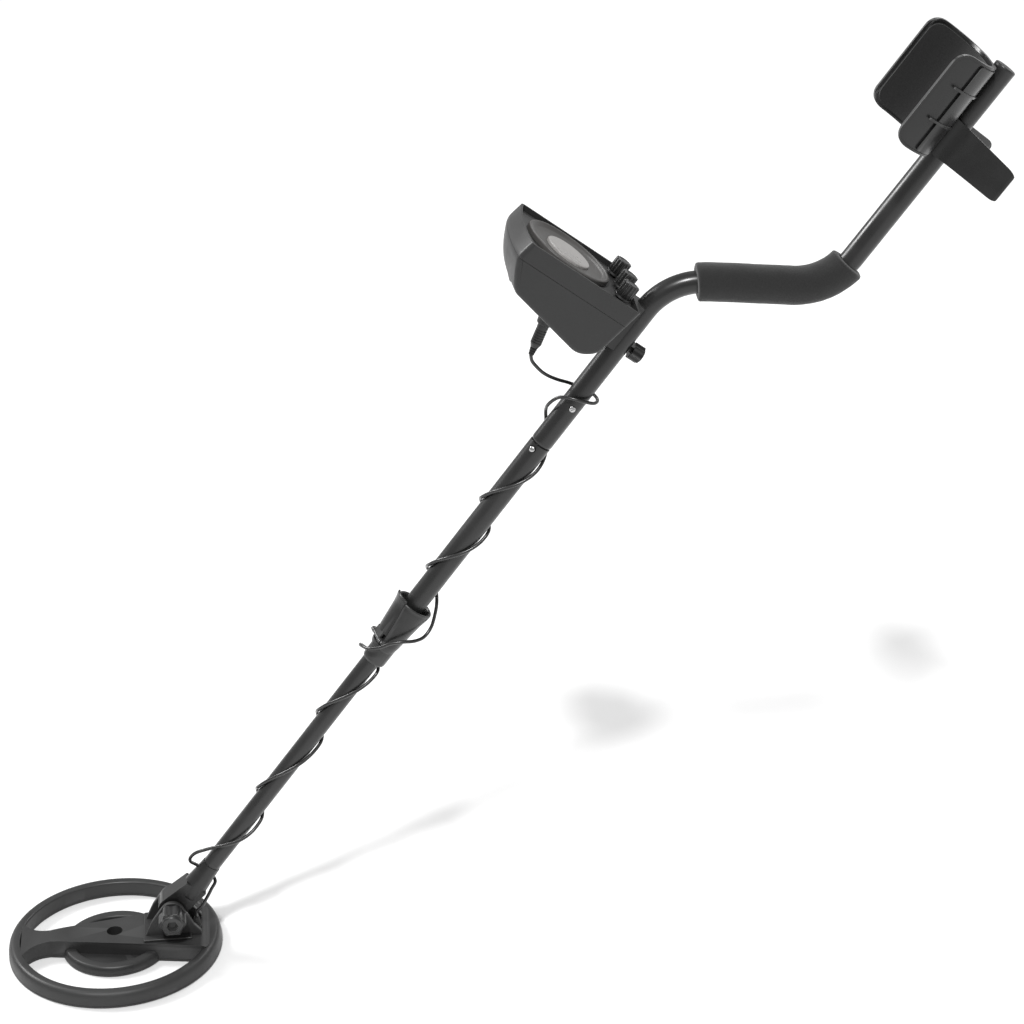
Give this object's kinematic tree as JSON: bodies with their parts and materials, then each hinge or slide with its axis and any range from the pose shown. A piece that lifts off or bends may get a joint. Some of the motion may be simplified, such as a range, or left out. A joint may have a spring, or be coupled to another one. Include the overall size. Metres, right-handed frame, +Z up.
{
  "type": "metal detector",
  "caption": "hand-held metal detector: open round search coil on a tilting hinge, telescoping stem with clamp, S-shaped tube with foam grip, control box with dial meter, arm cuff and stand",
  "frame": {"origin": "middle of the foam hand grip, on the tube's centre line, where the hand holds the detector", "axes": "+Z up with the coil level; +X from the coil back towards the user; +Y to the user's right, along the coil hinge"},
  "size_m": [1.0016, 0.2172, 0.9239],
  "materials": {
    "tube": "satin dark grey coating on aluminium",
    "moulding": "fine-grained dark grey moulding",
    "soft_black": "near-black moulding, slight sheen",
    "foam": "closed-cell foam, matt and finely pitted",
    "rubber": "matt black rubber",
    "cable": "smooth black cable jacket",
    "ring_grey": "warm grey moulding",
    "dial": "printed pale scale plate, plain marks only",
    "window": "frosted clear window",
    "steel": "plated steel",
    "copper": "enamelled copper winding",
    "board": "green circuit board",
    "battery": "plain dark battery case"
  },
  "bodies": {
    "root": {"upper_tube": "tube", "middle_tube": "tube", "tube_screw": "steel", "snap_spring": "steel", "clamp_collar": "moulding", "clamp_bush": "soft_black", "clamp_pin": "steel", "foam_grip": "foam", "tube_end_cap": "soft_black", "arm_cuff": "moulding", "cuff_pad": "foam", "cuff_stand": "moulding", "cuff_bolt": "steel", "cuff_nut": "steel", "box_shell": "moulding", "box_bezel": "moulding", "battery_left": "battery", "battery_right": "battery", "circuit_board": "board", "meter_case": "moulding", "meter_movement": "steel", "meter_dial": "dial", "meter_ring": "ring_grey", "meter_window": "window", "speaker": "soft_black", "box_saddle": "moulding", "pot_left": "steel", "pot_centre": "steel", "pot_right": "steel", "box_socket": "moulding", "cable_plug": "soft_black", "plug_boot": "rubber", "cable_upper": "cable"},
    "stem": {"lower_stem": "tube", "stem_guide": "soft_black", "stem_yoke": "moulding", "hinge_washer_left": "rubber", "hinge_washer_right": "rubber", "cable_lower": "cable"},
    "coil": {"coil_shell": "moulding", "coil_base": "moulding", "transmit_winding": "copper", "receive_winding": "copper", "hinge_bracket": "moulding", "hinge_bolt": "soft_black", "coil_gland": "soft_black", "cable_tail": "cable"},
    "lever": {"clamp_lever": "moulding"},
    "button": {"snap_button": "steel"},
    "door": {"battery_door": "moulding"},
    "mount_screw": {"box_thumbscrew": "soft_black"},
    "tilt_knob": {"hinge_knob": "soft_black"},
    "needle": {"meter_needle": "soft_black"},
    "left_control": {"knob_left": "soft_black"},
    "centre_control": {"knob_centre": "soft_black"},
    "right_control": {"knob_right": "soft_black"}
  },
  "joints": [
    {"name": "stem_slide", "type": "slide", "parent": "root", "child": "stem", "axis": [-0.6101, 0, -0.7923], "range_m": [-0.06, 0.09], "deforming": ["cable_lower"]},
    {"name": "coil_tilt", "type": "hinge", "parent": "stem", "child": "coil", "pos_m": [-0.58734, 0, -0.6447], "axis": [0, 1, 0], "range_deg": [-20, 80], "deforming": ["cable_tail"]},
    {"name": "clamp_lever_swing", "type": "hinge", "parent": "root", "child": "lever", "pos_m": [-0.366, -0.00414, -0.34689], "axis": [0.2448, -0.9511, -0.1885], "range_deg": [0, 95]},
    {"name": "snap_button_press", "type": "slide", "parent": "root", "child": "button", "axis": [0.4544, 0.8191, -0.35], "range_m": [0, 0.003], "stiffness_N_per_m": 400, "springref_m": -0.002, "deforming": ["snap_spring"]},
    {"name": "battery_door_swing", "type": "hinge", "parent": "root", "child": "door", "pos_m": [-0.20178, 0, -0.0031], "axis": [0, -1, 0], "range_deg": [0, 100]},
    {"name": "thumbscrew_turn", "type": "hinge", "parent": "root", "child": "mount_screw", "pos_m": [-0.10887, 0, -0.06339], "axis": [-0.7923, 0, 0.6101], "continuous": true},
    {"name": "hinge_knob_turn", "type": "hinge", "parent": "coil", "child": "tilt_knob", "pos_m": [-0.58734, 0, -0.6447], "axis": [0, -1, 0], "continuous": true},
    {"name": "left_knob_turn", "type": "hinge", "parent": "root", "child": "left_control", "pos_m": [-0.11779, -0.03, 0.01353], "axis": [0.6101, 0, 0.7923], "range_deg": [-150, 150]},
    {"name": "centre_knob_turn", "type": "hinge", "parent": "root", "child": "centre_control", "pos_m": [-0.11541, 0, 0.0117], "axis": [0.6101, 0, 0.7923], "range_deg": [-150, 150]},
    {"name": "right_knob_turn", "type": "hinge", "parent": "root", "child": "right_control", "pos_m": [-0.11779, 0.03, 0.01353], "axis": [0.6101, 0, 0.7923], "range_deg": [-150, 150]},
    {"name": "needle_swing", "type": "hinge", "parent": "root", "child": "needle", "pos_m": [-0.16585, 0, 0.02783], "axis": [-0.6101, 0, -0.7923], "range_deg": [0, 80], "stiffness_Nm_per_rad": 0.0005, "springref_deg": -5.73}
  ]
}
